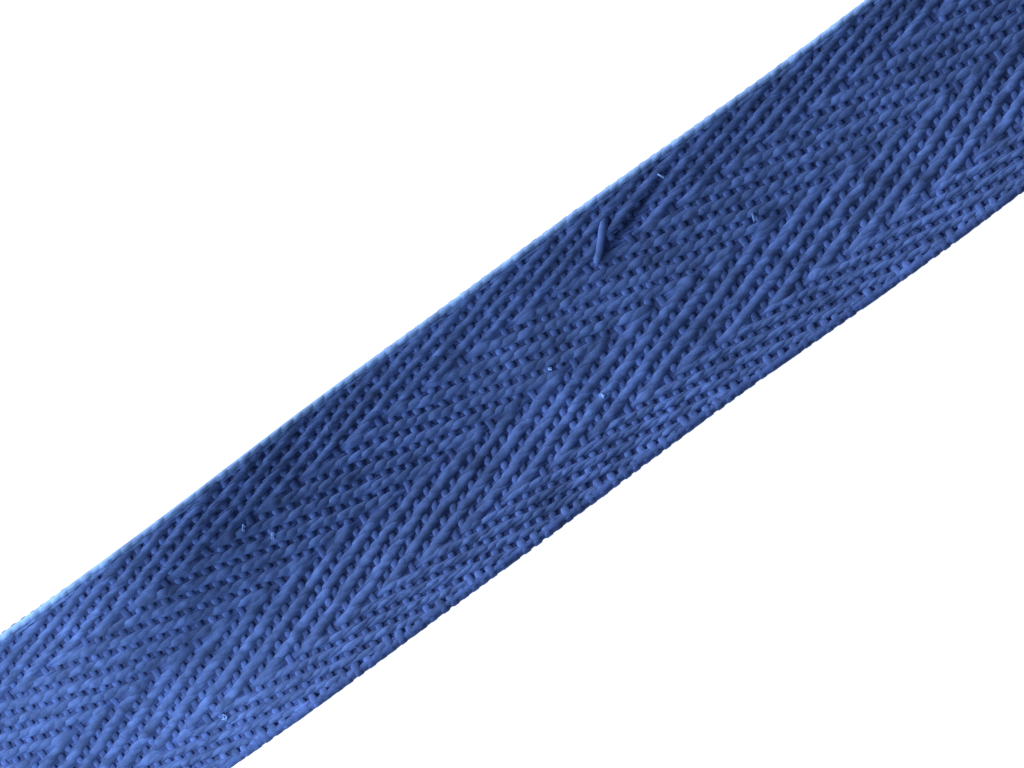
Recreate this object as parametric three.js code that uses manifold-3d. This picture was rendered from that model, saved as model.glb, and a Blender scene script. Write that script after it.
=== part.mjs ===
// A cut length of herringbone twill tape, lying loosely on a level surface.
//
// Millimetres. +X runs along the tape, +Y across it to the far selvage, +Z up from the surface.
// The origin is the middle of the tape's box, at the level of the surface.
import * as THREE from "three";
import { mergeVertices } from "three/addons/utils/BufferGeometryUtils.js";
import Module from "manifold-3d";

// Driving dimensions
const LENGTH = 150; // between the two square cuts
const WIDTH = 20; // over both selvages
const THICKNESS = 1; // from the ribs of one face to the ribs of the other
const RIB = 0.22; // how far a twill rib stands above the valley beside it
const PICK = 1.07; // from one crossing of the weft to the next, along the tape
const PICKS_PER_RIB = 4; // a two-up two-down twill repeats every four crossings
const ENDS_PER_BAND = 16; // warp ends from one turn of the herringbone to the next
const SELVAGE_RADIUS = 0.45; // rounding of the two woven edges

// The four bands of the herringbone, from the far selvage to the near one. The outer two are
// drawn in by the turns of the weft. `slant` is +1 where the ribs run out towards the far
// selvage as they go along +X, and -1 where they run towards the near one.
const BANDS = [
  { width: 4.45, slant: 1 },
  { width: 5.6, slant: -1 },
  { width: 5.55, slant: 1 },
  { width: 4.4, slant: -1 },
];

// Swells that lift the tape off the surface. The crest crosses the middle at x = `at` and moves
// along by `lean` for each millimetre across. A flank's reach is given at the near selvage and
// at the far one, before the crest (`before`) and past it (`past`).
const SWELLS = [
  { at: -28, lean: -0.73, height: 5.5, before: { near: 29, far: 24 }, past: { near: 39, far: 30 } },
  { at: 58, lean: 0.2, height: 1.8, before: { near: 34, far: 34 }, past: { near: 17, far: 17 } },
];

// Soft ridges and troughs on the swells, each an oval turned by `turn` degrees from +X
const CREASES = [
  { x: -34, y: 6, turn: 21, halfLength: 45, halfWidth: 6.9, height: 0.6 },
  { x: -19, y: -1.3, turn: 3, halfLength: 37, halfWidth: 8, height: -0.6 },
];

// How far each selvage curls up from the middle
const CURL = { near: 1, far: 0.9 };

// The weight of the cloth presses it flat wherever its folds would lift it less than PRESSED,
// and it leaves the surface smoothly over the next SETTLING.
const PRESSED = 0.09;
const SETTLING = 0.2;

// Places where the tape strays sideways from its straight line, and how far each stray reaches.
const STRAYS = [
  { at: -14, by: 0.1, reach: 16 },
  { at: 33, by: -0.3, reach: 22 },
];

// Fineness of the mesh
const STEPS_PER_BAND = 4; // points across each band
const WALK_STEP = 0.5; // of the walk that turns cloth length into x
const EXTRA = 12; // cloth made beyond each cut, then trimmed square

const COLOUR = 0x3a5088;
const ROUGHNESS = 0.9;

// 1 at t = 0, falling smoothly to 0 at t = 1 and beyond.
function bump(t) {
  return 0.5 * (1 + Math.cos(Math.PI * Math.min(Math.abs(t), 1)));
}

// A reach between its values at the two selvages, by equal ratios.
function reachAt(reach, y) {
  const share = 0.5 + y / WIDTH;
  return reach.near * Math.pow(reach.far / reach.near, share);
}

function creaseHeight(crease, x, y) {
  const turn = THREE.MathUtils.degToRad(crease.turn);
  const along = (x - crease.x) * Math.cos(turn) + (y - crease.y) * Math.sin(turn);
  const aside = (y - crease.y) * Math.cos(turn) - (x - crease.x) * Math.sin(turn);
  return crease.height * bump(along / crease.halfLength) * bump(aside / crease.halfWidth);
}

function settle(height) {
  const above = Math.max(height - PRESSED, 0);
  return above < SETTLING ? (above * above) / (2 * SETTLING) : above - SETTLING / 2;
}

// Height of the cloth's underside above the surface, without its ribs.
function lift(x, y) {
  const out = y / (WIDTH / 2);
  let height = (y > 0 ? CURL.far : CURL.near) * out * out;
  for (const swell of SWELLS) {
    const past = x - swell.at - swell.lean * y;
    const reach = reachAt(past < 0 ? swell.before : swell.past, y);
    height += swell.height * bump(past / reach);
  }
  for (const crease of CREASES) height += creaseHeight(crease, x, y);
  return settle(height);
}

function stray(x) {
  return STRAYS.reduce((sum, s) => sum + s.by * bump((x - s.at) / s.reach), 0);
}

// Walks along the middle of the cloth from x = 0, and gives the x of each length walked.
function walkFromMiddle() {
  const places = [{ length: 0, x: 0 }];
  for (const direction of [1, -1]) {
    let { length, x } = places[0];
    const found = [];
    while (Math.abs(x) < LENGTH / 2 + EXTRA + ENDS_PER_BAND * PICK) {
      const next = x + direction * WALK_STEP;
      length += direction * Math.hypot(WALK_STEP, lift(next, 0) - lift(x, 0));
      x = next;
      found.push({ length, x });
    }
    if (direction > 0) places.push(...found);
    else places.unshift(...found.reverse());
  }
  return places;
}

function xAtLength(places, length) {
  const after = Math.max(1, places.findIndex((p) => p.length >= length));
  const a = places[after - 1];
  const b = places[after];
  return a.x + ((length - a.length) * (b.x - a.x)) / (b.length - a.length);
}

// Points across the tape from the near selvage to the far one. `shift` is how far along the tape
// a rib has moved there, which draws the zigzag of the herringbone.
function pointsAcross() {
  const points = [];
  let y = WIDTH / 2;
  let shift = 0;
  for (const band of BANDS) {
    for (let i = 0; i < STEPS_PER_BAND; i += 1) {
      points.push({ y, shift });
      y -= band.width / STEPS_PER_BAND;
      shift -= (band.slant * ENDS_PER_BAND * PICK) / STEPS_PER_BAND;
    }
  }
  points.push({ y, shift });
  const inner = WIDTH / 2 - SELVAGE_RADIUS;
  for (const point of points) point.y = THREE.MathUtils.clamp(point.y, -inner, inner);
  return points.reverse();
}

// One closed loop around the tape that follows a rib, or the valley beside it.
function loopAround(places, across, length, isRib) {
  const place = (point, y, z) => {
    const x = xAtLength(places, length + point.shift);
    return new THREE.Vector3(x, y + stray(x), z(x));
  };
  const topOf = (y) => (x) => lift(x, y) + THICKNESS - (isRib ? 0 : RIB);
  const underOf = (y) => (x) => Math.max(0, lift(x, y) - (isRib ? 0 : RIB));
  const rim = (point, side) => {
    const y = (side * WIDTH) / 2;
    return place(point, y, (x) => (topOf(y)(x) + underOf(y)(x)) / 2);
  };
  const shoulder = (point, side, surface) => {
    const y = side * (WIDTH / 2 - SELVAGE_RADIUS * (1 - Math.SQRT1_2));
    const middle = (x) => (topOf(y)(x) + underOf(y)(x)) / 2;
    return place(point, y, (x) => THREE.MathUtils.lerp(surface(y)(x), middle(x), 1 - Math.SQRT1_2));
  };
  const near = across[0];
  const far = across[across.length - 1];
  return [
    rim(near, -1),
    shoulder(near, -1, topOf),
    ...across.map((p) => place(p, p.y, topOf(p.y))),
    shoulder(far, 1, topOf),
    rim(far, 1),
    shoulder(far, 1, underOf),
    ...across.map((p) => place(p, p.y, underOf(p.y))).reverse(),
    shoulder(near, -1, underOf),
  ];
}

// A closed skin over a row of loops, with a cap on each end.
function skinOver(loops) {
  const count = loops[0].length;
  const triangles = [];
  const quad = (a, b, c, d) => triangles.push(a, b, c, a, c, d);
  for (let i = 0; i + 1 < loops.length; i += 1) {
    for (let j = 0; j < count; j += 1) {
      const k = (j + 1) % count;
      quad(loops[i][j], loops[i + 1][j], loops[i + 1][k], loops[i][k]);
    }
  }
  const first = loops[0];
  const last = loops[loops.length - 1];
  for (let j = 0; j < count / 2; j += 1) {
    const a = (count - j) % count;
    const b = count - j - 1;
    quad(first[a], first[j], first[j + 1], first[b]);
    quad(last[b], last[j + 1], last[j], last[a]);
  }
  const skin = new THREE.BufferGeometry().setFromPoints(triangles);
  return mergeVertices(skin, 1e-4);
}

const wasm = await Module();
wasm.setup();

function solidFrom(geometry) {
  const bare = geometry.clone();
  bare.deleteAttribute("normal");
  bare.deleteAttribute("uv");
  const merged = mergeVertices(bare, 1e-4);
  const vertProperties = merged.attributes.position.array;
  const triVerts = new Uint32Array(merged.index.array);
  return new wasm.Manifold(new wasm.Mesh({ numProp: 3, vertProperties, triVerts }));
}

function geometryFrom(solid) {
  const mesh = solid.getMesh();
  const geometry = new THREE.BufferGeometry();
  geometry.setAttribute("position", new THREE.BufferAttribute(mesh.vertProperties, 3));
  geometry.setIndex(new THREE.BufferAttribute(mesh.triVerts, 1));
  geometry.computeVertexNormals();
  return geometry;
}

// The woven cloth, made over-long along its ribs and trimmed with two square cuts.
function makeTape() {
  const places = walkFromMiddle();
  const across = pointsAcross();
  const step = (PICK * PICKS_PER_RIB) / 2;
  const slope = ENDS_PER_BAND * PICK;
  const loops = [];
  const firstRow = Math.ceil((places[0].length + slope) / step);
  const lastRow = Math.floor((places[places.length - 1].length) / step);
  for (let row = firstRow; row <= lastRow; row += 1) {
    loops.push(loopAround(places, across, row * step, row % 2 === 0));
  }
  const trim = new THREE.BoxGeometry(LENGTH, 2 * WIDTH, 2 * WIDTH);
  return geometryFrom(solidFrom(skinOver(loops)).intersect(solidFrom(trim)));
}

const tape = new THREE.Mesh(
  makeTape(),
  new THREE.MeshStandardMaterial({ color: COLOUR, roughness: ROUGHNESS, metalness: 0, flatShading: true }),
);
tape.name = "tape";
tape.geometry.computeBoundingBox();
tape.position.y = -tape.geometry.boundingBox.getCenter(new THREE.Vector3()).y;

const part = new THREE.Group();
part.add(tape);

export default part;
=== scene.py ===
import math

import bpy
import numpy as np
from mathutils import Matrix, Vector


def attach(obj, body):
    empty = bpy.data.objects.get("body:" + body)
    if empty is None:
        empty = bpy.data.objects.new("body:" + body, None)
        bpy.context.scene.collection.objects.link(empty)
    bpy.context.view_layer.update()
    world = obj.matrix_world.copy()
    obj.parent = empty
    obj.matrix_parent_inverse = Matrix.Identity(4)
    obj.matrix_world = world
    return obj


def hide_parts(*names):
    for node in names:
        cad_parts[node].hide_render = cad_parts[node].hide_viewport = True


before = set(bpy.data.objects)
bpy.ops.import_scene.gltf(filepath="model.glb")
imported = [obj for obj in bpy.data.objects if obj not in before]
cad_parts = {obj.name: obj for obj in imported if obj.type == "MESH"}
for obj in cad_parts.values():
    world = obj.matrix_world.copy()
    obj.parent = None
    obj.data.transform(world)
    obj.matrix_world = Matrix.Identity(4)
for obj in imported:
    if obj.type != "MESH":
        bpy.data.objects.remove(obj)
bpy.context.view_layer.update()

# A cut length of herringbone twill tape, woven yarn by yarn on the folds of its solid.
#
# Sizes are in millimetres and turned into metres where a mesh is made. A point of the cloth is
# (s, t, h): s along the tape, t across it to the far selvage, h above the middle of the cloth.

MM = 0.001

# The solid's own sizes and folds. A swell's reach before and past its crest is given at the near
# selvage and at the far one.
LENGTH = 150
WIDTH = 20
PICK = 1.07
ENDS_PER_BAND = 16
BANDS = [
    {"width": 4.45, "slant": 1},
    {"width": 5.6, "slant": -1},
    {"width": 5.55, "slant": 1},
    {"width": 4.4, "slant": -1},
]
SWELLS = [
    {"at": -28, "lean": -0.73, "height": 5.5, "before": (29, 24), "past": (39, 30)},
    {"at": 58, "lean": 0.2, "height": 1.8, "before": (34, 34), "past": (17, 17)},
]
CREASES = [
    {"x": -34, "y": 6, "turn": 21, "half_length": 45, "half_width": 6.9, "height": 0.6},
    {"x": -19, "y": -1.3, "turn": 3, "half_length": 37, "half_width": 8, "height": -0.6},
]
CURL = {"near": 1, "far": 0.9}
PRESSED = 0.09
SETTLING = 0.2
STRAYS = [
    {"at": -14, "by": 0.1, "reach": 16},
    {"at": 33, "by": -0.3, "reach": 22},
]
WALK_STEP = 0.25  # of the walk along the cloth that turns its length into x
SLOPE_STEP = 0.05  # on each side of a place where the cloth's slope is taken

# Yarns: half sizes of their oval sections, and how far each swings over and under
CLOTH_HALF = 0.34  # from the middle of the cloth to the floor it lies on
WARP_HIGH = 0.13
WARP_SWING = 0.13
WARP_FLAT_TOP = 0.5  # how squarely a float runs before it dives
WARP_BIAS = 0.2  # how much longer the floats run on the face than under it
WARP_FILL = {"float": 1.75, "dive": 1.1}  # width against the room for each end
WARP_LEAN = 0.045  # how far a float leans over along its rib, each way
WEFT_WIDE = 0.36
WEFT_HIGH = 0.13
WEFT_SWING = 0.085
WEFT_RELIEF_SHADE = {"middle": 0.4, "per_mm": 1.5}  # where its height puts it between the painted shade of a hollow and the painted light of a crest
TURN_REACH = 0.55  # on each side of a turn of the herringbone
TURN_SINK = 0.07  # of the weft there
TURN_SPREAD = 0.2  # of the warp ends there, as a share of their width
PICKS_PER_REPEAT = 4
WARP_RINGS_PER_PICK = 4
WEFT_STEP = 0.24
WARP_SIDES = 8
WEFT_SIDES = 6
SQUARENESS = 0.85  # below 1 makes an oval section fuller
STRIP_MARGIN = 0.05  # on each side of a yarn in its map, as a share of its strip
FRAY = 0.35  # how unevenly the warp ends were cut
PICK_MARGIN = 0.6  # the least room from each cut to a pick, before the weft strays

# Selvages: the weft turns round a cord on the near one, and is locked by a chain on the far one
SELVAGE_ROUND = 0.42
SELVAGE_ROOM = {"near": 0.4, "far": 0.36}  # from the edge to the first warp end
SELVAGE_BENDS = 5  # steps in which the weft turns round
WEFT_TAIL = np.array([0.3, 0.7])  # how far it runs back under the cloth
BAR_REACH = {"near": 1.1, "far": 0.3}  # how far the weft lies on top inside each selvage
BAR_RISE = 0.22  # of the middle of the weft there
BAR_SPREAD = 0.2  # of the weft inside the near selvage, as a share of its width
# A strand's crest is its place on the colour ramp, from painted shade to painted light
CORD = {"half": 0.362, "crest": 0.4, "rings_per_pick": 3}
CHAIN = {"half": 0.25, "swell": 0.02, "swing": 0.04, "crest": 0.9, "rings_per_pick": 8}
LINING = {"inside": 0.62, "half": 0.2, "h": -0.04, "swell": 0.1, "crest": 0.2, "rings_per_pick": 8}
SHOULDER = {"from": 8.4, "drop": 0.2}  # how the face rounds off towards the far selvage

# The heart of the cloth, and how far it stays inside the cuts and the selvages
GROUND = {"half": 0.03, "end_inset": 0.3, "edge_inset": 0.4, "steps_along": 160, "steps_across": 24}

# Unevenness of the yarns: the size and the length of each random wave along them. Girths are
# shares of the yarn's own, except the chain's, which is in millimetres.
UNEVEN = {
    "warp aside": [(0.02, 9), (0.015, 3.1)],
    "warp height": [(0.02, 6), (0.03, 2.7), (0.022, 1.3)],
    "warp girth": [(0.06, 7), (0.07, 1.9)],
    "weft along": [(0.03, 6)],
    "weft girth": [(0.06, 8), (0.05, 2.7)],
    "cord aside": [(0.02, 8)],
    "cord girth": [(0.05, 5), (0.04, 2)],
    "chain girth": [(0.012, 7), (0.01, 2.3)],
    "chain height": [(0.015, 5)],
    "lining girth": [(0.1, 5), (0.08, 1.7)],
    "lining aside": [(0.03, 4)],
    "lining height": [(0.03, 3)],
}
WAVE_SPREAD = (0.8, 1.25)  # of a wave's length from yarn to yarn
WOBBLES = [
    {"size": 0.14, "along": 0.31, "across": 0.35, "phase": 0.4},
    {"size": 0.08, "along": 0.83, "across": -0.6, "phase": 2.1},
    {"size": 0.05, "along": 1.9, "across": 1.3, "phase": 4.4},
]
SEEDS = {"warp": 100, "weft": 200, "cord": 7, "chain": 8, "lining": 9, "fuzz": 21, "lint": 31}

# A snag: a parting between two ribs, and the thread that was pulled out beside it
PARTING = {
    "from": (13.0, 5.4),
    "to": (21.4, 8.0),
    "half_width": 0.6,
    "depth": 0.42,
    "lip": 0.1,
    "lip_at": 1.3,  # in half widths from its middle
    "blunt": 0.3,  # below 1 makes its ends blunter
    "painted_shade": 3.5,  # painted shade in it: how much darker it is coloured, for each millimetre of its depth
}
SNAG = {
    "from": (15.7, 8.2),
    "to": (12.4, 5.45),
    "wide": 0.4,
    "high": 0.17,
    "rise": 0.3,
    "bend": 0.12,
    "waist": 0.25,
    "waist_reach": 0.35,
    "tip": 0.1,
    "blunt": 0.4,
    "rings": 24,
}

# Loose fibres and specks
FUZZ = {
    "count": 3500,
    "half": 0.01,
    "half_spread": (0.7, 1.3),
    "length": (0.3, 0.9),
    "curl": 1.2,
    "foot": (0.28, 0.4),
    "arch": (0.02, 0.22),
    "root_inset": (1, 0.4),  # of a fibre's start from the cuts and from the selvages
    "inset": 0.1,  # of nearly all of it
    "crowding": 1.4,  # how strongly the fibres near a selvage are drawn in
    "rings": 5,
    "sides": 4,
    # its crest: its place on the colour ramp, from painted shade to painted light
    "crest": 0.5,
}
LINT = [
    {"at": (-34.0, -6.3), "long": 0.24, "wide": 0.18, "heading": 0.6},
    {"at": (-23.4, 5.3), "long": 0.26, "wide": 0.08, "heading": 0.9},
    {"at": (-21.9, 3.3), "long": 0.24, "wide": 0.12, "heading": 0.9},
    {"at": (4.4, 0.8), "long": 0.14, "wide": 0.1, "heading": 2.6},
    {"at": (6.5, -3.5), "long": 0.2, "wide": 0.12, "heading": 2.0},
    {"at": (21.1, 8.3), "long": 0.3, "wide": 0.06, "heading": -1.15},
    {"at": (25.1, 1.2), "long": 0.34, "wide": 0.05, "heading": 1.2},
]
TANGLE = {
    "fibres": 6,  # in each speck
    "half": 0.03,
    "thick": 0.05,
    "height": 0.33,
    "speed": (2, 6),  # of the windings from one end of a fibre to the other, in radians
    "rings": 14,
    "sides": 6,
}

# Cotton. The stops of its colour go from painted shade in the hollows of the weave to painted light on
# the crests.
YARN_SHADE_TO_LIGHT_STOPS = [
    (0.0, (0.015, 0.03, 0.11)),
    (0.33, (0.043, 0.082, 0.28)),
    (0.67, (0.055, 0.106, 0.33)),
    (1.0, (0.069, 0.13, 0.37)),
]
# Paler cotton: painted light on the chain and the lining of the far selvage, for light catching that
# edge from behind, and the own pale colour of the lint specks
RIM_LIGHT_AND_LINT_STOPS = [(0.33, (0.09, 0.18, 0.48)), (1.0, (0.22, 0.39, 0.8))]
# Painted shade: the heart is coloured darker than the yarn in its hollows, for shade deep in the weave
GROUND_SHADE_COLOURS = [(0.026, 0.052, 0.19, 1), (0.036, 0.07, 0.24, 1)]
SHEEN = {"yarn": 0.12, "rim_lit_and_lint_yarn": 0.1}
RELIEF_SHADE_RANGE = (-0.5, 1)  # from the first stop to the last, where 0 is a hollow in painted shade and 1 a crest in painted light
TONES = {"fibre": (0.88, 1.12), "patch": (0.72, 1.3), "broad": (0.88, 1.12), "shade": (0.78, 1.22)}
NOISE_RANGE = (0.3, 0.7)  # what most of a noise lies between
NOISE_PER_METRE = {"patch": 750, "broad": 140, "ground": 2500}
FIBRES_PER_MM = (1.6, 9, 1)  # of the noise along a yarn and round it
YARN_ROUND = 1.3  # a yarn's girth
TWIST = math.radians(24)
RELIEF = 0.03

# Camera: where the tape lies in the 1024 by 768 picture
PICTURE_WIDTH_PX = 1024
TAPE_ANGLE = 36.2
TAPE_WIDTH_PX = 246
LEAN_ALONG, LEAN_ACROSS = 8, 3  # of the camera from upright, in degrees
AIM = (1.2, 1.74, 1.0)
LENS, SENSOR = 300, 36

# Studio. A light's distance and size are in metres, its power in watts.
FLOOR_HALF = 2000
FLOOR_COLOUR = (0.3, 0.31, 0.32, 1)
FLOOR_GLOW = 0.93
WORLD = {"colour": (0.66, 0.8, 1, 1), "strength": 0.16}
LIGHTS = [
    {"name": "key", "azimuth": 137, "elevation": 17, "distance": 0.8, "size": 0.45, "power": 8.0,
     "colour": (1, 0.98, 0.95)},
    {"name": "left", "azimuth": 187, "elevation": 28, "distance": 0.17, "size": 0.06, "power": 0.17,
     "colour": (0.84, 0.94, 1)},
    {"name": "rim", "azimuth": 95, "elevation": 4, "distance": 0.8, "size": 0.1, "power": 1.7,
     "colour": (1, 1, 1)},
]

root = "root"


def bump(x):
    """1 at 0, falling smoothly to 0 at 1 and beyond."""
    return 0.5 * (1 + np.cos(np.pi * np.minimum(np.abs(x), 1)))


def reach_at(reach, t):
    """A reach between its values at the two selvages, by equal ratios."""
    near, far = reach
    return near * (far / near) ** (0.5 + t / WIDTH)


def lift(x, t):
    """Height of the cloth's underside above the floor."""
    height = np.where(t > 0, CURL["far"], CURL["near"]) * (t / (WIDTH / 2)) ** 2
    for swell in SWELLS:
        past = x - swell["at"] - swell["lean"] * t
        reach = np.where(past < 0, reach_at(swell["before"], t), reach_at(swell["past"], t))
        height = height + swell["height"] * bump(past / reach)
    for crease in CREASES:
        turn = math.radians(crease["turn"])
        along = (x - crease["x"]) * math.cos(turn) + (t - crease["y"]) * math.sin(turn)
        aside = (t - crease["y"]) * math.cos(turn) - (x - crease["x"]) * math.sin(turn)
        oval = bump(along / crease["half_length"]) * bump(aside / crease["half_width"])
        height = height + crease["height"] * oval
    above = np.maximum(height - PRESSED, 0)
    return np.where(above < SETTLING, above**2 / (2 * SETTLING), above - SETTLING / 2)


def stray(x):
    """How far the tape strays sideways from its straight line."""
    return sum(s["by"] * bump((x - s["at"]) / s["reach"]) for s in STRAYS)


def walk():
    """The x of each length walked along the middle of the cloth, from x = 0."""
    x = np.arange(-LENGTH, LENGTH + WALK_STEP / 2, WALK_STEP)
    steps = np.hypot(np.diff(x), np.diff(lift(x, 0 * x)))
    length = np.concatenate([[0], np.cumsum(steps)])
    return length - np.interp(0, x, length), x


def middle_of_box():
    """Middle of the solid across, from which it was moved to centre its box."""
    edges = stray(np.arange(-LENGTH / 2, LENGTH / 2 + WALK_STEP / 2, WALK_STEP))
    return (edges.max() + edges.min()) / 2


WALKED, WALKED_X = walk()
START, STOP = np.interp([-LENGTH / 2, LENGTH / 2], WALKED_X, WALKED)
FIRST_PICK = math.ceil((START + PICK_MARGIN) / PICK)
LAST_PICK = math.floor((STOP - PICK_MARGIN) / PICK)
MIDDLE_PICK = (FIRST_PICK + LAST_PICK) // 2
Y_SHIFT = -middle_of_box()


def place(s, t, h):
    """Points of the cloth in the frame, in metres."""
    x = np.interp(s, WALKED, WALKED_X)
    e = SLOPE_STEP
    slope_x = (lift(x + e, t) - lift(x - e, t)) / (2 * e)
    slope_y = (lift(x, t + e) - lift(x, t - e)) / (2 * e)
    size = np.sqrt(1 + slope_x**2 + slope_y**2)
    y = t + stray(x) + Y_SHIFT
    z = lift(x, t) + CLOTH_HALF
    points = np.stack([x - slope_x * h / size, y - slope_y * h / size, z + h / size], -1)
    return points * MM


def band_of(t):
    """How far the zigzag of the twill has moved along the tape at t, in picks."""
    edges = WIDTH / 2 - np.cumsum([0] + [b["width"] for b in BANDS])
    turns = np.cumsum([0] + [-b["slant"] * ENDS_PER_BAND for b in BANDS])
    return np.interp(t, edges[::-1], turns[::-1])


def shoulder(t):
    """How far the cloth sinks towards the far selvage."""
    out = np.clip((t - SHOULDER["from"]) / (WIDTH / 2 - SHOULDER["from"]), 0, 1)
    return SHOULDER["drop"] * out**2


def wobble(q, t):
    """How far the weft strays from even spacing, in picks."""
    return sum(w["size"] * np.sin(w["along"] * q + w["across"] * t + w["phase"]) for w in WOBBLES)


def near_turn(t):
    """1 at the turns of the herringbone, 0 away from them."""
    turns = WIDTH / 2 - np.cumsum([b["width"] for b in BANDS[:-1]])
    return sum(bump((t - turn) / TURN_REACH) for turn in turns)


def turn_of(pick, t):
    """Where a warp end is in its wave over and under the weft, as an angle."""
    return 2 * np.pi * (pick - band_of(t)) / PICKS_PER_REPEAT + np.pi / 4


def swing(turn):
    """Near +1 where a warp end lies over the weft, near -1 where it lies under."""
    return np.tanh(WARP_FLAT_TOP * (np.sin(turn) + WARP_BIAS)) / np.tanh(WARP_FLAT_TOP)


def waves(rng, along, count, kind):
    """Smooth random waves along each of count yarns."""
    total = np.zeros((count,) + along.shape[-1:])
    for size, length in UNEVEN[kind]:
        phase = rng.uniform(0, 2 * np.pi, (count, 1))
        pitch = length * rng.uniform(*WAVE_SPREAD, (count, 1))
        total += size * np.sin(2 * np.pi * along / pitch + phase)
    return total


def parting(s, t):
    """How far the cloth sinks along the parting, with a lip raised on its far side."""
    a, b = np.array(PARTING["from"]), np.array(PARTING["to"])
    length = np.linalg.norm(b - a)
    d = (b - a) / length
    along = (s - a[0]) * d[0] + (t - a[1]) * d[1]
    aside = ((t - a[1]) * d[0] - (s - a[0]) * d[1]) / PARTING["half_width"]
    section = PARTING["depth"] * bump(aside) - PARTING["lip"] * bump(aside - PARTING["lip_at"])
    return section * bump(2 * along / length - 1) ** PARTING["blunt"]


def parted(h, s, t, high):
    """Heights with the parting in the cloth, which doesn't press a yarn into the floor."""
    sink = parting(s, t)
    lowest = np.minimum(h, high - CLOTH_HALF)
    return np.where(sink > 0, np.maximum(h - sink, lowest), h - sink)


# Meshes

def link(name, mesh):
    obj = bpy.data.objects.new(name, mesh)
    bpy.context.scene.collection.objects.link(obj)
    return obj


def rings_round(path, wide, high, side_axis, sides):
    """Points of the oval rings along each yarn, in the cloth's own coordinates."""
    tangent = np.gradient(path, axis=1)
    tangent /= np.linalg.norm(tangent, axis=2, keepdims=True)
    axis = np.broadcast_to(np.array(side_axis, float), path.shape)
    side = axis - tangent * (axis * tangent).sum(2, keepdims=True)
    side /= np.linalg.norm(side, axis=2, keepdims=True)
    normal = np.cross(tangent, side)
    turn = 2 * np.pi * np.arange(sides) / sides
    out = np.sign(np.cos(turn)) * np.abs(np.cos(turn)) ** SQUARENESS
    up = np.sign(np.sin(turn)) * np.abs(np.sin(turn)) ** SQUARENESS
    aside = side[:, :, None] * (wide[:, :, None] * out)[..., None]
    above = normal[:, :, None] * (high[:, :, None] * up)[..., None]
    return path[:, :, None] + (aside + above)


def tube_faces(count, rings, sides):
    """Four-cornered faces of count closed tubes, with a cap on each end."""
    index = np.arange(count * rings * sides).reshape(count, rings, sides)
    a, b = index[:, :-1], index[:, 1:]
    walls = np.stack([a, np.roll(a, -1, 2), np.roll(b, -1, 2), b], -1).reshape(-1, 4)
    half = np.arange(sides // 2 - 1)
    first, last = index[:, 0], index[:, -1]
    pairs = [half, sides - 1 - half, sides - 2 - half, half + 1]
    start_caps = np.stack([first[:, i] for i in pairs], -1).reshape(-1, 4)
    end_caps = np.stack([last[:, i] for i in pairs[::-1]], -1).reshape(-1, 4)
    return np.concatenate([walls, start_caps, end_caps])


def add_maps(mesh, faces, path, sides):
    """Map Yarn, in mm along a yarn and turns round it, and OFBake, with a strip for each yarn."""
    count, rings, _ = path.shape
    every = (count, rings, sides)
    corner = faces.reshape(-1)
    steps = np.linalg.norm(np.diff(path, axis=1), axis=2)
    along = np.concatenate([np.zeros((count, 1)), steps.cumsum(1)], 1)
    u = np.broadcast_to(along[:, :, None], every).reshape(-1)[corner]
    v = np.broadcast_to(np.arange(sides) / sides, every).reshape(-1)[corner].reshape(-1, 4)
    v = np.where(v < v.max(1, keepdims=True) - 0.5, v + 1, v).reshape(-1)
    strip = np.broadcast_to(np.arange(count)[:, None, None], every).reshape(-1)[corner]
    yarn = mesh.uv_layers.new(name="Yarn")
    yarn.data.foreach_set("uv", np.stack([u, v], -1).astype(np.float32).ravel())
    bake = mesh.uv_layers.new(name="OFBake")
    across = (strip + STRIP_MARGIN + (1 - 2 * STRIP_MARGIN) * v) / count
    bake.data.foreach_set("uv", np.stack([u / along.max(), across], -1).astype(np.float32).ravel())


def tubes(name, path, wide, high, side_axis, sides, tones):
    """One mesh of many closed tubes. path is (yarns, rings, 3) in the cloth's own coordinates."""
    count, rings, _ = path.shape
    ring = rings_round(path, wide, high, side_axis, sides)
    points = place(ring[..., 0], ring[..., 1], ring[..., 2]).reshape(-1, 3)
    faces = tube_faces(count, rings, sides)
    mesh = bpy.data.meshes.new(name)
    mesh.from_pydata(points, [], faces)
    mesh.shade_smooth()
    add_maps(mesh, faces, path, sides)
    for key, values in tones.items():
        spread = np.broadcast_to(values[:, :, None], (count, rings, sides)).astype(np.float32)
        mesh.attributes.new(key, "FLOAT", "POINT").data.foreach_set("value", spread.ravel())
    mesh.validate()
    return link(name, mesh)


def rings_along(per_pick):
    """Number of rings in the whole length of a yarn."""
    return int((STOP - START) / PICK * per_pick)


def strands(name, s, t, h, half, crest):
    """Round strands along a selvage, each of one tone."""
    path = np.stack([np.broadcast_to(s, t.shape), t, h], -1)
    tones = {"crest": np.full(t.shape, crest), "shade": np.zeros(t.shape)}
    return tubes(name, path, half, half, (0, 1, 0), WARP_SIDES, tones)


# Pieces

def warp_ends():
    """Middle of each warp end across the tape, half its room, and its band, from the far selvage."""
    ends = []
    y = WIDTH / 2
    for band, row in enumerate(BANDS):
        top, bottom = y, y - row["width"]
        if band == 0:
            top -= SELVAGE_ROOM["far"]
        if band == len(BANDS) - 1:
            bottom += SELVAGE_ROOM["near"]
        pitch = (top - bottom) / ENDS_PER_BAND
        y -= row["width"]
        ends += [(top - (i + 0.5) * pitch, pitch / 2, band) for i in range(ENDS_PER_BAND)]
    return np.array(ends)


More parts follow.
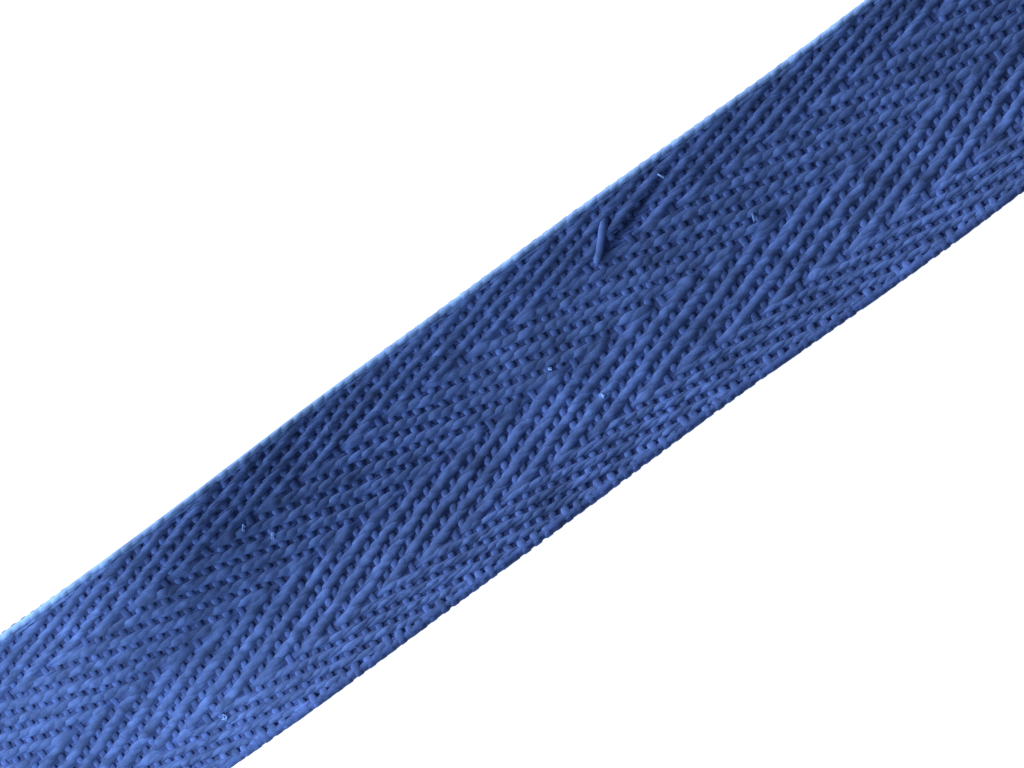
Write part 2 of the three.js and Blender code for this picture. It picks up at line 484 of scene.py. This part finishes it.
def make_warp(band):
    """The warp ends of one band of the herringbone."""
    rng = np.random.default_rng(SEEDS["warp"] + band)
    ends = warp_ends()
    ends = ends[ends[:, 2] == band]
    count = len(ends)
    middle, half_room = ends[:, :1], ends[:, 1:2]
    rings = rings_along(WARP_RINGS_PER_PICK) + 1
    ragged = rng.uniform(0, FRAY, (2, count, 1))
    s = START + ragged[0] + np.linspace(0, 1, rings) * (STOP - START - ragged[0] - ragged[1])
    turn = turn_of(s / PICK + wobble(s / PICK, middle), middle)
    over = swing(turn)
    on_top = 0.5 + 0.5 * over
    t = middle + waves(rng, s, count, "warp aside")
    t = t - WARP_LEAN * BANDS[band]["slant"] * np.cos(turn)
    h = WARP_SWING * over + waves(rng, s, count, "warp height")
    h = parted(h, s, t, WARP_HIGH) - shoulder(t)
    slub = 1 + waves(rng, s, count, "warp girth")
    fill = WARP_FILL["dive"] + (WARP_FILL["float"] - WARP_FILL["dive"]) * on_top
    wide = half_room * fill * slub * (1 + TURN_SPREAD * near_turn(middle))
    path = np.stack([s, t, h], -1)
    # Each wave over and under the weft has a number, and a tone of its own
    wave = np.floor(turn / (2 * np.pi) + 0.25).astype(int)
    wave -= wave.min()
    shades = rng.uniform(-1, 1, (count, wave.max() + 1))
    # Painted shade and light: darker where the end dives, darker still in the parting, lighter where
    # it floats
    crest = on_top - PARTING["painted_shade"] * parting(s, t)
    tones = {"crest": crest, "shade": np.take_along_axis(shades, wave, 1)}
    return tubes(f"warp_band_{band + 1}", path, wide, WARP_HIGH * slub, (0, 1, 0), WARP_SIDES, tones)


def make_weft(first, last):
    """The picks of the weft from one number to another, each wrapped round both selvages."""
    rng = np.random.default_rng(SEEDS["weft"] + first - last)
    picks = np.arange(first, last)[:, None]
    count = len(picks)
    edge = WIDTH / 2 - SELVAGE_ROUND
    t = np.arange(-edge, edge, WEFT_STEP)
    bend = np.linspace(0, np.pi, SELVAGE_BENDS + 1)[1:]
    radius = SELVAGE_ROUND - WEFT_HIGH
    near_t, near_h = -edge - radius * np.sin(bend), radius * np.cos(bend)
    across = np.concatenate([-edge + WEFT_TAIL[::-1], near_t[::-1], t, -near_t, edge - WEFT_TAIL])
    inside = -WEFT_SWING * swing(turn_of(picks, t[None])) - TURN_SINK * near_turn(t[None])
    near_hold = bump(np.clip((t + edge) / BAR_REACH["near"], 0, 1))
    far_hold = bump(np.clip((edge - t) / BAR_REACH["far"], 0, 1))
    inside = inside * (1 - near_hold - far_hold) + BAR_RISE * (near_hold + far_hold)
    under = np.full((count, len(WEFT_TAIL)), -radius)
    near_side = np.broadcast_to(near_h[::-1], (count, len(bend)))
    far_side = np.broadcast_to(near_h, (count, len(bend)))
    h = np.concatenate([under, near_side, inside, far_side, under], 1)
    across = np.broadcast_to(across, h.shape)
    s = PICK * (picks - wobble(picks, across)) + waves(rng, across, count, "weft along")
    h = parted(h, s, across, WEFT_HIGH) - shoulder(across)
    slub = 1 + waves(rng, across, count, "weft girth")
    near_bar = bump(np.maximum(across + edge, 0) / BAR_REACH["near"])
    wide = WEFT_WIDE * slub * (1 + BAR_SPREAD * near_bar)
    path = np.stack([s, across, h], -1)
    shade = np.broadcast_to(rng.uniform(-1, 1, (count, 1)), h.shape)
    # Painted shade and light: darker the lower the pick lies, and darker still in the parting
    crest = WEFT_RELIEF_SHADE["middle"] + WEFT_RELIEF_SHADE["per_mm"] * h - PARTING["painted_shade"] * parting(s, across)
    return tubes(f"weft_from_pick_{first - FIRST_PICK + 1}", path, wide, WEFT_HIGH * slub,
                 (1, 0, 0), WEFT_SIDES, {"crest": crest, "shade": shade})


def make_near_cord():
    """The end in the near selvage that the weft turns round."""
    rng = np.random.default_rng(SEEDS["cord"])
    s = np.linspace(START, STOP, rings_along(CORD["rings_per_pick"]))[None]
    t = -WIDTH / 2 + SELVAGE_ROUND + waves(rng, s, 1, "cord aside")
    half = CORD["half"] * (1 + waves(rng, s, 1, "cord girth"))
    return strands("near_selvage_cord", s, t, np.zeros(t.shape), half, CORD["crest"])


def make_edge_chain():
    """The two strands that lock the loops of the weft along the far selvage."""
    rng = np.random.default_rng(SEEDS["chain"])
    s = np.linspace(START, STOP, rings_along(CHAIN["rings_per_pick"]))
    turn = np.pi * s / PICK + np.array([[0], [np.pi]])
    half = CHAIN["half"] + CHAIN["swell"] * np.cos(turn) + waves(rng, s, 2, "chain girth")
    h = CHAIN["swing"] * np.sin(turn) + waves(rng, s, 2, "chain height")
    # Painted light: the chain is coloured paler than the dyed yarn
    return strands("far_selvage_chain", s, WIDTH / 2 - half, h, half, CHAIN["crest"])


def make_chain_lining():
    """The soft strand where the loops of the chain run into the cloth."""
    rng = np.random.default_rng(SEEDS["lining"])
    s = np.linspace(START, STOP, rings_along(LINING["rings_per_pick"]))[None]
    loops = LINING["swell"] * np.cos(2 * np.pi * s / PICK)
    half = LINING["half"] * (1 + loops + waves(rng, s, 1, "lining girth"))
    t = WIDTH / 2 - LINING["inside"] + waves(rng, s, 1, "lining aside")
    h = LINING["h"] + waves(rng, s, 1, "lining height")
    # Painted light: the lining is coloured paler than the dyed yarn, so the lit edge fades into the
    # cloth
    return strands("far_selvage_lining", s, t, h, half, LINING["crest"])


def make_ground():
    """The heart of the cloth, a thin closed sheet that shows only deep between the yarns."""
    s = np.linspace(START + GROUND["end_inset"], STOP - GROUND["end_inset"], GROUND["steps_along"] + 1)
    edge = WIDTH / 2 - GROUND["edge_inset"]
    t = np.linspace(-edge, edge, GROUND["steps_across"] + 1)
    grid_s, grid_t = np.meshgrid(s, t, indexing="ij")
    half = GROUND["half"]
    middle = parted(0, grid_s, grid_t, half) - shoulder(grid_t)
    points = np.concatenate([place(grid_s, grid_t, middle + h).reshape(-1, 3) for h in (half, -half)])
    index = np.arange(grid_s.size).reshape(grid_s.shape)
    top = np.stack([index[:-1, :-1], index[1:, :-1], index[1:, 1:], index[:-1, 1:]], -1)
    top = top.reshape(-1, 4)
    under = top[:, ::-1] + index.size
    rim = np.concatenate([index[0, :-1], index[:-1, -1], index[-1, :0:-1], index[:0:-1, 0]])
    after = np.roll(rim, -1)
    wall = np.stack([rim, after, after + index.size, rim + index.size], -1)
    mesh = bpy.data.meshes.new("cloth_ground")
    mesh.from_pydata(points, [], np.concatenate([top, under, wall]))
    mesh.validate()
    return link("cloth_ground", mesh)


def make_snag():
    """The pulled thread, tapered into the cloth at both ends."""
    a, b = np.array(SNAG["from"]), np.array(SNAG["to"])
    share = np.linspace(0, 1, SNAG["rings"])
    flat = a + (b - a) * share[:, None]
    flat[:, 1] += SNAG["bend"] * np.sin(2 * np.pi * share)
    taper = np.sin(np.pi * share) ** SNAG["blunt"]
    waist = 1 - SNAG["waist"] * bump((share - 0.5) / SNAG["waist_reach"])
    path = np.column_stack([flat, SNAG["rise"] * taper])[None]
    girth = (SNAG["tip"] + (1 - SNAG["tip"]) * taper * waist)[None]
    # Painted light: the thread has a crest's colour all along, and the lightest of the random tones
    tones = {"crest": np.ones(girth.shape), "shade": np.ones(girth.shape)}
    return tubes("pulled_thread", path, SNAG["wide"] * girth, SNAG["high"] * girth,
                 (0, 1, 0), WARP_SIDES, tones)


def make_fuzz():
    """Loose fibres that stand off the face and the selvages."""
    rng = np.random.default_rng(SEEDS["fuzz"])
    each = (FUZZ["count"], 1)
    share = np.linspace(0, 1, FUZZ["rings"])
    step = rng.uniform(*FUZZ["length"], each) / (FUZZ["rings"] - 1)
    heading = rng.uniform(0, 2 * np.pi, each) + rng.uniform(-FUZZ["curl"], FUZZ["curl"], each) * share
    from_cut, from_selvage = FUZZ["root_inset"]
    widest = WIDTH / 2 - from_selvage
    s = rng.uniform(START + from_cut, STOP - from_cut, each) + np.cumsum(np.cos(heading) * step, 1)
    t = rng.uniform(-widest, widest, each) + np.cumsum(np.sin(heading) * step, 1)
    edge = WIDTH / 2 - FUZZ["inset"]
    t = edge * np.tanh(t / edge * FUZZ["crowding"]) / np.tanh(FUZZ["crowding"])
    s = np.clip(s, START + FUZZ["inset"], STOP - FUZZ["inset"])
    foot = rng.uniform(*FUZZ["foot"], each)
    arch = rng.uniform(*FUZZ["arch"], each) * np.sin(np.pi * share)
    path = np.stack([s, t, foot + arch - parting(s, t)], -1)
    half = FUZZ["half"] * rng.uniform(*FUZZ["half_spread"], each) * np.ones(FUZZ["rings"])
    shade = np.broadcast_to(rng.uniform(-1, 1, each), half.shape)
    tones = {"crest": np.full(half.shape, FUZZ["crest"]), "shade": shade}
    return tubes("fuzz", path, half, half, (0, 0, 1), FUZZ["sides"], tones)


def make_lint():
    """A few pale specks of tangled fibre caught on the face."""
    rng = np.random.default_rng(SEEDS["lint"])
    share = np.linspace(0, 1, TANGLE["rings"])
    paths = []
    for speck in LINT:
        along, across = math.cos(speck["heading"]), math.sin(speck["heading"])
        reach = [[speck["long"]], [speck["wide"]], [TANGLE["thick"]]]
        for _ in range(TANGLE["fibres"]):
            phase = rng.uniform(0, 2 * np.pi, (3, 1))
            speed = rng.uniform(*TANGLE["speed"], (3, 1))
            a, b, up = np.sin(phase + speed * share) * reach
            s = speck["at"][0] + a * along - b * across
            t = speck["at"][1] + a * across + b * along
            paths.append(np.column_stack([s, t, TANGLE["height"] + up]))
    half = np.full((len(paths), len(share)), TANGLE["half"])
    tones = {"crest": np.ones(half.shape), "shade": np.ones(half.shape)}
    return tubes("lint", np.array(paths), half, half, (0, 0, 1), TANGLE["sides"], tones)


# Materials

def nodes_of(name):
    material = bpy.data.materials.new(name)
    material.use_nodes = True
    tree = material.node_tree
    shader = tree.nodes["Principled BSDF"]
    return material, tree, shader


def remap(tree, value, from_range, to_range):
    """A Map Range node from one range to another."""
    node = tree.nodes.new("ShaderNodeMapRange")
    for key, number in zip(("From Min", "From Max", "To Min", "To Max"), from_range + to_range):
        node.inputs[key].default_value = number
    tree.links.new(value, node.inputs["Value"])
    return node.outputs["Result"]


def noise(tree, vector, scale, detail):
    node = tree.nodes.new("ShaderNodeTexNoise")
    node.inputs["Scale"].default_value = scale
    node.inputs["Detail"].default_value = detail
    tree.links.new(vector, node.inputs["Vector"])
    return node.outputs["Fac"]


def attribute(tree, name):
    node = tree.nodes.new("ShaderNodeAttribute")
    node.attribute_name = name
    return node.outputs["Fac"]


def multiply(tree, a, b):
    node = tree.nodes.new("ShaderNodeMath")
    node.operation = "MULTIPLY"
    tree.links.new(a, node.inputs[0])
    tree.links.new(b, node.inputs[1])
    return node.outputs["Value"]


def mapped(tree, vector, rotation, scale):
    node = tree.nodes.new("ShaderNodeMapping")
    node.inputs["Rotation"].default_value = (0, 0, rotation)
    node.inputs["Scale"].default_value = scale
    tree.links.new(vector, node.inputs["Vector"])
    return node.outputs["Vector"]


def cotton(name, stops, sheen):
    """Dyed cotton: twisted fibres, with painted shade in the hollows and painted light on the crests,
    uneven from place to place.
    """
    material, tree, shader = nodes_of(name)
    ramp = tree.nodes.new("ShaderNodeValToRGB")
    points = ramp.color_ramp.elements
    while len(points) < len(stops):
        points.new(0.5)
    for point, (position, colour) in zip(points, stops):
        point.position = position
        point.color = colour + (1,)
    # Painted shade and light: the colour comes from the ramp by how deep each part of a yarn lies
    tree.links.new(remap(tree, attribute(tree, "crest"), RELIEF_SHADE_RANGE, (0, 1)), ramp.inputs["Fac"])
    on_yarn = tree.nodes.new("ShaderNodeUVMap")
    on_yarn.uv_map = "Yarn"
    in_mm = mapped(tree, on_yarn.outputs["UV"], TWIST, (1, YARN_ROUND, 1))
    fibre = noise(tree, mapped(tree, in_mm, 0, FIBRES_PER_MM), 1, 3)
    where = tree.nodes.new("ShaderNodeTexCoord")
    patch = noise(tree, where.outputs["Object"], NOISE_PER_METRE["patch"], 2)
    broad = noise(tree, where.outputs["Object"], NOISE_PER_METRE["broad"], 2)
    tone = remap(tree, attribute(tree, "shade"), (-1, 1), TONES["shade"])
    for key, value in (("fibre", fibre), ("patch", patch), ("broad", broad)):
        tone = multiply(tree, tone, remap(tree, value, NOISE_RANGE, TONES[key]))
    vary = tree.nodes.new("ShaderNodeMix")
    vary.data_type = "RGBA"
    vary.blend_type = "MULTIPLY"
    vary.inputs["Factor"].default_value = 1.0
    tree.links.new(ramp.outputs["Color"], vary.inputs["A"])
    tree.links.new(tone, vary.inputs["B"])
    tree.links.new(vary.outputs["Result"], shader.inputs["Base Color"])
    shader.inputs["Roughness"].default_value = 0.9
    shader.inputs["Specular IOR Level"].default_value = 0.1
    shader.inputs["Sheen Weight"].default_value = sheen
    shader.inputs["Sheen Roughness"].default_value = 0.6
    shader.inputs["Sheen Tint"].default_value = (0.4, 0.62, 1.0, 1)
    relief = tree.nodes.new("ShaderNodeBump")
    relief.inputs["Strength"].default_value = 0.4
    relief.inputs["Distance"].default_value = RELIEF * MM
    tree.links.new(fibre, relief.inputs["Height"])
    tree.links.new(relief.outputs["Normal"], shader.inputs["Normal"])
    return material


def ground_painted_shade_material():
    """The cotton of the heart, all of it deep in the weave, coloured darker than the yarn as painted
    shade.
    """
    material, tree, shader = nodes_of("packed_cotton_in_painted_shade")
    where = tree.nodes.new("ShaderNodeTexCoord")
    ramp = tree.nodes.new("ShaderNodeValToRGB")
    for point, colour in zip(ramp.color_ramp.elements, GROUND_SHADE_COLOURS):
        point.color = colour
    grain = noise(tree, where.outputs["Object"], NOISE_PER_METRE["ground"], 2)
    tree.links.new(grain, ramp.inputs["Fac"])
    tree.links.new(ramp.outputs["Color"], shader.inputs["Base Color"])
    shader.inputs["Roughness"].default_value = 0.95
    return material


# The studio

def make_floor():
    """A pale floor that gives off light of its own, so that it looks white."""
    half = FLOOR_HALF * MM
    corners = [(-half, -half, 0), (half, -half, 0), (half, half, 0), (-half, half, 0)]
    mesh = bpy.data.meshes.new("floor")
    mesh.from_pydata(corners, [], [(0, 1, 2, 3)])
    floor = link("floor", mesh)
    material, _, shader = nodes_of("pale_floor")
    shader.inputs["Base Color"].default_value = FLOOR_COLOUR
    shader.inputs["Roughness"].default_value = 0.9
    shader.inputs["Emission Color"].default_value = (1, 1, 1, 1)
    shader.inputs["Emission Strength"].default_value = FLOOR_GLOW
    mesh.materials.append(material)


def make_camera():
    """A long lens far off, turned so that the tape runs across the picture at its angle."""
    lean_x, lean_y = math.radians(LEAN_ALONG), math.radians(LEAN_ACROSS)
    back = Vector((math.sin(lean_x), math.sin(lean_y), 1)).normalized()
    along = (Vector((1, 0, 0)) - back * back.x).normalized()
    upward = back.cross(along)
    angle = math.radians(TAPE_ANGLE)
    right = along * math.cos(angle) - upward * math.sin(angle)
    up = along * math.sin(angle) + upward * math.cos(angle)
    px_per_mm = TAPE_WIDTH_PX / WIDTH / math.cos(lean_y)
    distance = PICTURE_WIDTH_PX / px_per_mm * MM * LENS / SENSOR
    data = bpy.data.cameras.new("camera")
    data.lens, data.sensor_width = LENS, SENSOR
    data.clip_start, data.clip_end = 0.01, 10
    turned = Matrix((right, up, back)).transposed().to_4x4()
    turned.translation = Vector(AIM) * MM + back * distance
    camera = link("camera", data)
    camera.matrix_world = turned
    bpy.context.scene.camera = camera


def make_light(name, azimuth, elevation, distance, size, power, colour):
    """A round light that shines on the middle of the tape."""
    a, e = math.radians(azimuth), math.radians(elevation)
    toward = Vector((math.cos(a) * math.cos(e), math.sin(a) * math.cos(e), math.sin(e)))
    data = bpy.data.lights.new(name, "AREA")
    data.shape, data.size, data.energy, data.color = "DISK", size, power, colour
    light = link(name, data)
    light.location = toward * distance
    light.rotation_mode = "QUATERNION"
    light.rotation_quaternion = toward.to_track_quat("Z", "Y")


def make_world():
    world = bpy.data.worlds.new("studio")
    bpy.context.scene.world = world
    world.use_nodes = True
    background = world.node_tree.nodes["Background"]
    background.inputs["Color"].default_value = WORLD["colour"]
    background.inputs["Strength"].default_value = WORLD["strength"]


# The tape

woven = [make_warp(band) for band in range(len(BANDS))]
woven += [make_weft(FIRST_PICK, MIDDLE_PICK), make_weft(MIDDLE_PICK, LAST_PICK + 1)]
woven += [make_near_cord(), make_snag(), make_fuzz()]
# Painted light on the far selvage's chain and lining; the lint is pale of its own
rim_lit_and_lint = [make_edge_chain(), make_chain_lining(), make_lint()]
ground = make_ground()

yarn = cotton("dyed_cotton_yarn", YARN_SHADE_TO_LIGHT_STOPS, SHEEN["yarn"])
for piece in woven:
    piece.data.materials.append(yarn)
rim_lit_and_lint_yarn = cotton("rim_lit_and_lint_cotton", RIM_LIGHT_AND_LINT_STOPS, SHEEN["rim_lit_and_lint_yarn"])
for piece in rim_lit_and_lint:
    piece.data.materials.append(rim_lit_and_lint_yarn)
ground.data.materials.append(ground_painted_shade_material())

for piece in [ground] + woven + rim_lit_and_lint:
    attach(piece, root)
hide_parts("tape")
make_floor()

make_camera()
make_world()
for row in LIGHTS:
    make_light(**row)
bpy.context.scene.view_settings.view_transform = "Standard"
